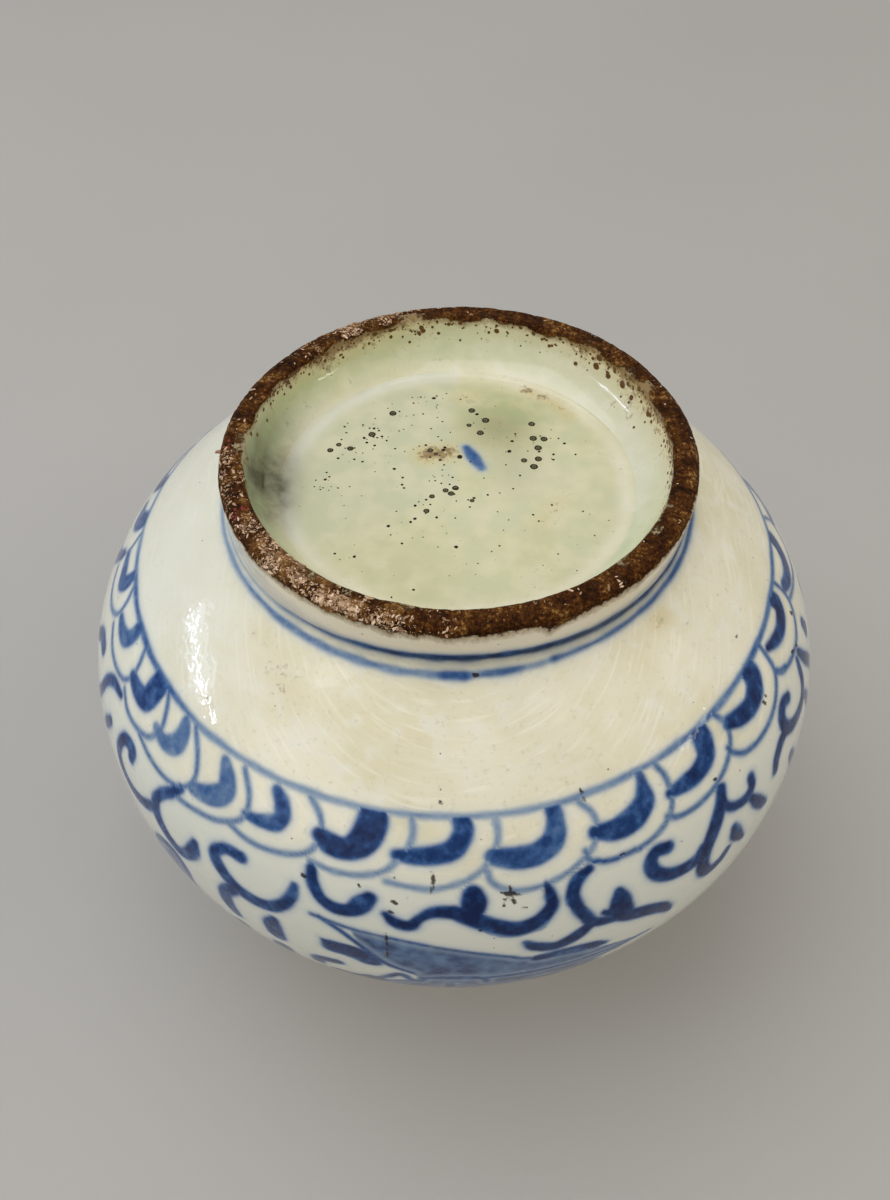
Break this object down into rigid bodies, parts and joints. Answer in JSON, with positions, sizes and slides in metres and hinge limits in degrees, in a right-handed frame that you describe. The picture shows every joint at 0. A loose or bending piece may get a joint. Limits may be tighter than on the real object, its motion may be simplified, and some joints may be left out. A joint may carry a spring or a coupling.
{
  "type": "vase",
  "caption": "Squat globular glazed vase on a broad foot ring with a short lipped neck, painted with a blue petal band and scrolling tendrils; stands on its foot and holds flowers.",
  "frame": {"origin": "middle of the foot ring's resting face", "axes": "+Z along the vase's axis from the foot to the mouth; -Y is the side the picture shows"},
  "size_m": [0.2, 0.2, 0.176],
  "materials": {
    "glazed_wall": "clear glaze over cream stonepaste with cobalt painting",
    "bare_foot": "bare fired stonepaste, stained brown, gritty",
    "luting_slip": "fired slip, matt"
  },
  "bodies": {
    "root": {"foot_ring": "bare_foot", "foot_slip": "luting_slip", "lower_bowl": "glazed_wall", "belly_slip": "luting_slip", "upper_bowl": "glazed_wall", "neck_slip": "luting_slip", "neck_collar": "glazed_wall"}
  },
  "joints": []
}
